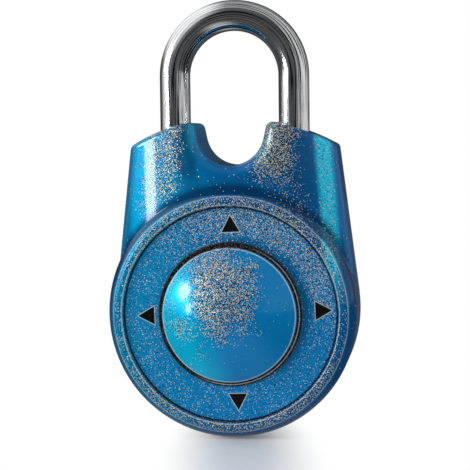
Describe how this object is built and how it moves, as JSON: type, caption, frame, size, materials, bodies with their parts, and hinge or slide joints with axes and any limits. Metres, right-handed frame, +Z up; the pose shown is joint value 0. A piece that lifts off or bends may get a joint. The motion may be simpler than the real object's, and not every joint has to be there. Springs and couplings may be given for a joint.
{
  "type": "directional combination padlock",
  "caption": "Padlock with a round push knob moved up, down, left and right over an arrow-marked dial plate, a cast body with a notch under the bow, and a steel shackle that lifts.",
  "frame": {"origin": "the middle of the underside of the shackle's bow, where the staple that the lock hangs on sits", "axes": "+Z up, the way the shackle lifts; the dial and knob look towards -Y; +X to the right as seen from the front"},
  "size_m": [0.057, 0.0276, 0.1],
  "materials": {
    "body_paint": "metallic blue lacquer on a zinc casting",
    "dial_paint": "satin metallic blue with black arrows",
    "knob_paint": "metallic blue, satin gloss",
    "black_plastic": "satin black",
    "shackle_chrome": "polished plating on hardened steel",
    "plated_steel": "zinc plated",
    "spring_steel": "tempered spring steel",
    "wheel_brass": "machined"
  },
  "bodies": {
    "housing": {"front_housing": "body_paint", "rear_cover": "body_paint", "dial_plate": "dial_paint", "mechanism_plate": "plated_steel", "plate_screws": "plated_steel", "wheel_post_1": "plated_steel", "wheel_post_2": "plated_steel", "wheel_post_3": "plated_steel", "wheel_post_4": "plated_steel", "fence_spring": "spring_steel", "bolt_spring": "spring_steel", "holding_springs": "spring_steel", "wheel_return_springs": "spring_steel", "clear_spring": "spring_steel", "side_centring_springs": "spring_steel", "lift_centring_springs": "spring_steel"},
    "shackle": {"shackle": "shackle_chrome", "heel_clip": "spring_steel"},
    "side_slide": {"side_yoke": "plated_steel", "side_drive_springs": "spring_steel"},
    "knob": {"knob": "knob_paint", "knob_skirt": "black_plastic", "stem_washer": "plated_steel", "stem_screw": "plated_steel"},
    "lift_slide": {"lift_yoke": "plated_steel", "lift_drive_springs": "spring_steel"},
    "fence": {"fence_bar": "plated_steel"},
    "bolt": {"latch_bolt": "plated_steel"},
    "change_lever": {"change_slide": "plated_steel", "reset_lever": "black_plastic", "lever_rivet": "plated_steel"},
    "wheel_1": {"ratchet_wheel_1": "wheel_brass", "gate_disc_1": "wheel_brass"},
    "wheel_2": {"ratchet_wheel_2": "wheel_brass", "gate_disc_2": "wheel_brass"},
    "wheel_3": {"ratchet_wheel_3": "wheel_brass", "gate_disc_3": "wheel_brass"},
    "wheel_4": {"ratchet_wheel_4": "wheel_brass", "gate_disc_4": "wheel_brass"}
  },
  "joints": [
    {"name": "shackle_slide", "type": "slide", "parent": "housing", "child": "shackle", "axis": [0, 0, 1], "range_m": [-0.0015, 0.016], "deforming": ["clear_spring"]},
    {"name": "knob_sideways", "type": "slide", "parent": "housing", "child": "side_slide", "axis": [1, 0, 0], "range_m": [-0.003, 0.003], "stiffness_N_per_m": 600, "deforming": ["side_centring_springs"]},
    {"name": "knob_up_down", "type": "slide", "parent": "side_slide", "child": "knob", "axis": [0, 0, 1], "range_m": [-0.003, 0.003], "stiffness_N_per_m": 600},
    {"name": "lift_yoke_slide", "type": "slide", "parent": "housing", "child": "lift_slide", "axis": [0, 0, 1], "range_m": [-0.003, 0.003], "deforming": ["lift_centring_springs"]},
    {"name": "fence_drop", "type": "slide", "parent": "housing", "child": "fence", "axis": [0, 0, 1], "range_m": [-0.0018, 0], "deforming": ["fence_spring"]},
    {"name": "bolt_slide", "type": "slide", "parent": "housing", "child": "bolt", "axis": [1, 0, 0], "range_m": [0, 0.0023], "stiffness_N_per_m": 150, "springref_m": 0.0035, "deforming": ["bolt_spring"]},
    {"name": "change_lever_slide", "type": "slide", "parent": "housing", "child": "change_lever", "axis": [0, 0, 1], "range_m": [0, 0.004]},
    {"name": "wheel_1_turn", "type": "hinge", "parent": "housing", "child": "wheel_1", "pos_m": [0.009, 0, -0.0569], "axis": [0, -1, 0], "range_deg": [0, 336], "deforming": ["wheel_return_springs", "holding_springs"]},
    {"name": "wheel_2_turn", "type": "hinge", "parent": "housing", "child": "wheel_2", "pos_m": [-0.009, 0, -0.0569], "axis": [0, -1, 0], "range_deg": [0, 336], "deforming": ["wheel_return_springs", "holding_springs"]},
    {"name": "wheel_3_turn", "type": "hinge", "parent": "housing", "child": "wheel_3", "pos_m": [-0.009, 0, -0.0719], "axis": [0, -1, 0], "range_deg": [0, 336], "deforming": ["wheel_return_springs", "holding_springs"]},
    {"name": "wheel_4_turn", "type": "hinge", "parent": "housing", "child": "wheel_4", "pos_m": [0.009, 0, -0.0719], "axis": [0, -1, 0], "range_deg": [0, 336], "deforming": ["wheel_return_springs", "holding_springs"]}
  ],
  "couplings": [
    {"joint": "lift_yoke_slide", "follows": "knob_up_down", "ratio": 1}
  ]
}
